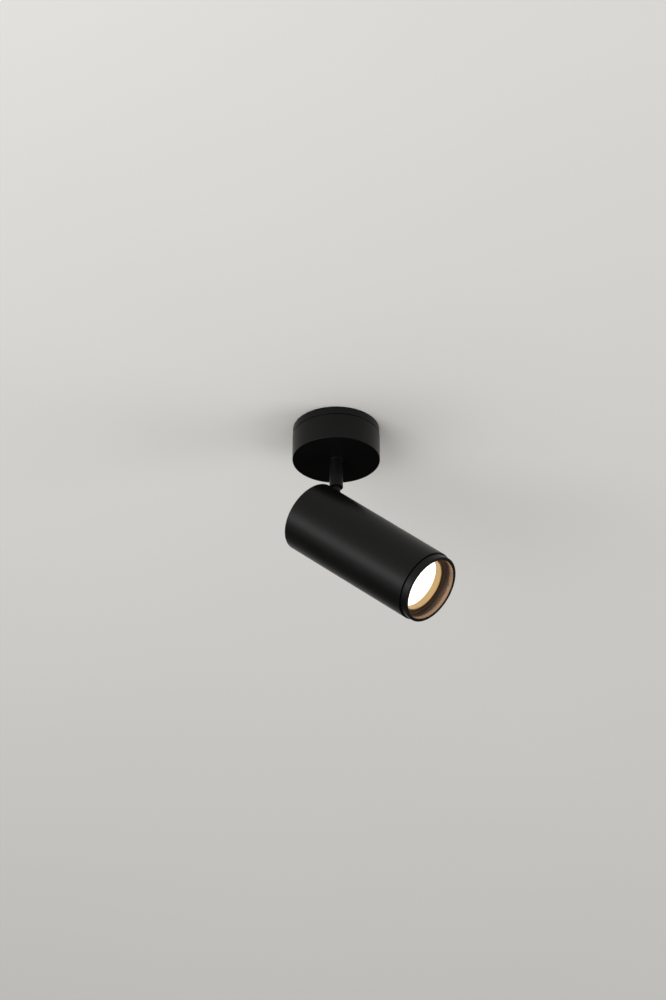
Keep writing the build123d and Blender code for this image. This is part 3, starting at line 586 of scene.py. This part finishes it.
bpy.ops.transform.translate(value=screwSpots[1] - screwSpots[0])
bpy.ops.object.mode_set(mode="OBJECT")
piece.select_set(True)
bpy.context.view_layer.objects.active = piece
bpy.ops.object.join()
finishPiece(piece, "cap_screws")

# mouth: the stepped bezel, with a bed for its seal and a web that carries the gold ring
bezel = {"spigotBack": 93.4, "spigot": 27.45, "opening": 26.15, "seal": 96.85, "sealHalf": 0.8,
         "sealBed": 26.0, "seat": 101.8, "radius": 28.85, "mouth": 108.0, "webFront": 98.1,
         "webBack": 95.6, "webBore": 22.85, "edge": 0.35, "steps": 256}
bedBack, bedFront = bezel["seal"] - bezel["sealHalf"], bezel["seal"] + bezel["sealHalf"]
piece = turnPiece("frontBezel", headLathe, [
    (bezel["spigotBack"], bezel["opening"]), (bezel["spigotBack"], bezel["spigot"]),
    (bedBack, bezel["spigot"]), (bedBack, bezel["sealBed"]),
    (bedFront, bezel["sealBed"]), (bedFront, bezel["spigot"]),
    (bezel["seat"], bezel["spigot"]), (bezel["seat"], bezel["radius"]),
    (bezel["mouth"], bezel["radius"]), (bezel["mouth"], bezel["opening"]),
    (bezel["webFront"], bezel["opening"]), (bezel["webFront"], bezel["webBore"]),
    (bezel["webBack"], bezel["webBore"]), (bezel["webBack"], bezel["opening"])],
    bezel["edge"], bezel["steps"])
finishPiece(piece, "front_bezel")

# mouth: the gold ring in the web
ring = {"back": 92.0, "front": bezel["webFront"], "bore": 22.1, "outside": 22.8, "seat": bezel["webBack"],
        "flange": 25.8, "edge": 0.2, "steps": 256}
piece = turnPiece("lampRing", headLathe, [
    (ring["back"], ring["bore"]), (ring["front"], ring["bore"]), (ring["front"], ring["outside"]),
    (ring["seat"], ring["outside"]), (ring["seat"], ring["flange"]), (ring["back"], ring["flange"])],
    ring["edge"], ring["steps"])
finishPiece(piece, "lamp_ring")

# mouth: the seal round the bezel's spigot
seal = {"circle": 26.8, "radius": 0.75, "sides": 20}
sealTurns = [2 * pi * side / seal["sides"] for side in range(seal["sides"])]
piece = turnPiece("bezelSeal", headLathe, [
    (bezel["seal"] + seal["radius"] * cos(turn), seal["circle"] + seal["radius"] * sin(turn))
    for turn in sealTurns])
finishPiece(piece, "bezel_o_ring")

# lamp: the opal cover
opal = {"back": 90.0, "front": 91.8, "radius": 24.35, "edge": 0.3}
piece = turnPiece("lampLens", headLathe, [
    (opal["back"], 0), (opal["back"], opal["radius"]),
    (opal["front"], opal["radius"]), (opal["front"], 0)], opal["edge"])
finishPiece(piece, "lamp_lens")

# lamp: the reflector shell that holds it
shell = {"neckBack": 57.8, "neck": 15.5, "rimBack": 86.8, "rim": 25.0, "front": opal["front"],
         "lensBore": 24.4, "lensBack": opal["back"], "wall": 1.4, "edge": 0.2}
rimBore, neckBore = shell["rim"] - shell["wall"], shell["neck"] - shell["wall"]
piece = turnPiece("lampReflector", headLathe, [
    (shell["neckBack"], shell["neck"]), (shell["rimBack"], shell["rim"]), (shell["front"], shell["rim"]),
    (shell["front"], shell["lensBore"]), (shell["lensBack"], shell["lensBore"]),
    (shell["lensBack"], rimBore), (shell["rimBack"], rimBore),
    (shell["neckBack"] + shell["wall"], neckBore), (shell["neckBack"], neckBore)], shell["edge"])
finishPiece(piece, "lamp_reflector")

# stage: a plain painted ceiling, see-through from above and to rays shorter than its skin,
# which come from the plate's own top
ceiling = {"size": 16.0, "lift": 0.2, "skin": 0.8, "tones": ((0.77, 0.76, 0.738), (0.80, 0.79, 0.768)),
           "cloud": 3.0, "grain": 350, "bump": 0.05, "depth": 0.2}
clearSelection()
bpy.ops.mesh.primitive_plane_add(size=ceiling["size"], location=(0, 0, ceiling["lift"] * mm),
                                 rotation=(pi, 0, 0))  # faces down
stageCeiling = settle()
stageCeiling.name = "stageCeiling"
material, wire = newMaterial("ceilingPaint")
where = objectPlace(wire)
cloud = noise(wire, where, ceiling["cloud"])
grain = noise(wire, where, ceiling["grain"])
matt = wire.make("ShaderNodeBsdfDiffuse", inputs={
    "Color": blendColours(wire, cloud, *ceiling["tones"]),
    "Normal": bumps(wire, grain, ceiling["bump"], ceiling["depth"]),
})
clear = wire.make("ShaderNodeBsdfTransparent")
behind = wire.make("ShaderNodeNewGeometry", output="Backfacing")
touching = 1 - (wire.make("ShaderNodeLightPath", output="Ray Length") > ceiling["skin"] * mm)
seeThrough = wire.maths("MAXIMUM", behind, touching)
surface(wire, wire.make("ShaderNodeMixShader", inputs={0: seeThrough, 1: matt, 2: clear}))
stageCeiling.data.materials.append(material)
stageCeiling.visible_shadow = False


def hangLight(name, spot, way, power):  # an area lamp that shines this way
    clearSelection()
    turn = way.to_track_quat("-Z", "Y").to_euler()
    bpy.ops.object.light_add(type="AREA", location=spot, rotation=turn)
    light = bpy.context.object
    light.name = name
    light.data.energy = power
    return light


# soft light from the sides and below
lamps = (
    {"name": "leftWindow", "spot": (-2.2, -2.0, -0.36), "size": (1.9, 0.6), "power": 15.0},
    {"name": "rightWindow", "spot": (4.0, 1.2, -2.3), "size": (2.6, 2.6), "power": 52.0},
    {"name": "frontWindow", "spot": (-0.5, -1.9, -1.1), "size": (1.5, 1.2), "power": 21.0},
    {"name": "floorGlow", "spot": (0.2, -0.3, -3.0), "size": (1.6, 1.6), "power": 10.0},
)
middle = (cadBox[0] + cadBox[1]) / 2
for lamp in lamps:
    spot = Vector(lamp["spot"])
    light = hangLight(lamp["name"], spot, middle - spot, lamp["power"])
    light.data.shape = "RECTANGLE"
    light.data.size, light.data.size_y = lamp["size"]

# the lamp's own light on the mouth's wall, and a little that comes back in
mouthLook = {"colour": (1.0, 0.56, 0.30), "body": "bezel"}
mouthLights = (
    {"name": "lampBeam", "place": 62.5, "way": 1, "radius": 5.0, "power": 5.6, "pastRing": True},
    {"name": "lampGlow", "place": 92.3, "way": 1, "radius": 11.0, "power": 0.01, "pastRing": False},
    {"name": "mouthGlow", "place": 107.6, "way": -1, "radius": 25.0, "power": 0.062, "pastRing": False},
)
mouthWall = bpy.data.collections.new("mouthWall")
mouthWall.objects.link(bpy.data.objects["frontBezel"])
ringLip = bpy.data.collections.new("ringLip")
ringLip.objects.link(bpy.data.objects["lampRing"])
for lamp in mouthLights:
    light = hangLight(lamp["name"], pivot + aim * lamp["place"] * mm, aim * lamp["way"], lamp["power"])
    light.data.shape = "DISK"
    light.data.size = 2 * lamp["radius"] * mm
    light.data.color = mouthLook["colour"]
    light.light_linking.receiver_collection = mouthWall
    if lamp["pastRing"]:  # only the gold ring's edge stops it, and it makes no glare
        light.light_linking.blocker_collection = ringLip
        light.visible_glossy = False
    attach(light, mouthLook["body"])

# a dark floor and two dark boards behind the light and on its left, which only gloss sees
card = {"low": (-5.0, -0.9), "high": (6.0, 7.0), "height": -3.4, "boards": 3.1, "cloud": 2.0,
        "tones": ((0.02, 0.02, 0.02), (0.03, 0.03, 0.03))}
cardMiddle = [(first + last) / 2 for first, last in zip(card["low"], card["high"])]
cardSize = [last - first for first, last in zip(card["low"], card["high"])]
clearSelection()
bpy.ops.mesh.primitive_plane_add(size=1, location=(*cardMiddle, card["height"]))
bpy.context.object.scale = (*cardSize, 1)
stageCard = settle()
stageCard.name = "stageCard"
left, back = card["low"][0], card["high"][1]
pickPoints(stageCard, lambda spot: spot.x < left + mm or spot.y > back - mm)
bpy.ops.mesh.extrude_region_move(TRANSFORM_OT_translate={"value": (0, 0, card["boards"])})
bpy.ops.object.mode_set(mode="OBJECT")
material, wire = newMaterial("cardPaint")
cloud = noise(wire, objectPlace(wire), card["cloud"])
surface(wire, wire.make("ShaderNodeBsdfDiffuse", inputs={"Color": blendColours(wire, cloud, *card["tones"])}))
stageCard.data.materials.append(material)
for sight in ("visible_camera", "visible_diffuse", "visible_shadow", "visible_transmission"):
    setattr(stageCard, sight, False)

# the room's even light, with a paler tone where it is seen
room = {"light": (0.415, 0.412, 0.404), "pale": (0.60, 0.595, 0.575), "strength": 1.0}
world = bpy.data.worlds.new("room")
scene.world = world
world.use_nodes = True
world.node_tree.nodes.clear()
wire = Wire(world.node_tree)
direct = wire.make("ShaderNodeLightPath", output="Is Camera Ray")
glossy = wire.make("ShaderNodeLightPath", output="Is Glossy Ray")
passing = wire.make("ShaderNodeLightPath", output="Is Transmission Ray")
seen = wire.maths("MINIMUM", direct + glossy + passing, 1.0)
sky = wire.make("ShaderNodeBackground", inputs={
    "Color": blendColours(wire, seen, room["light"], room["pale"]), "Strength": room["strength"]})
wire.make("ShaderNodeOutputWorld", inputs={"Surface": sky})

# camera at the photograph's viewing angle
view = {"spot": (0.9991, -2.6376, -1.7733), "turn": (121.15, 0.0, 20.80), "lens": 144.0, "sensor": 36.0}
clearSelection()
bpy.ops.object.camera_add(location=view["spot"], rotation=[radians(angle) for angle in view["turn"]])
camera = bpy.context.object
camera.data.lens = view["lens"]
camera.data.sensor_width = view["sensor"]
scene.camera = camera
scene.view_settings.view_transform = "Standard"
print("stage, lights and camera set")
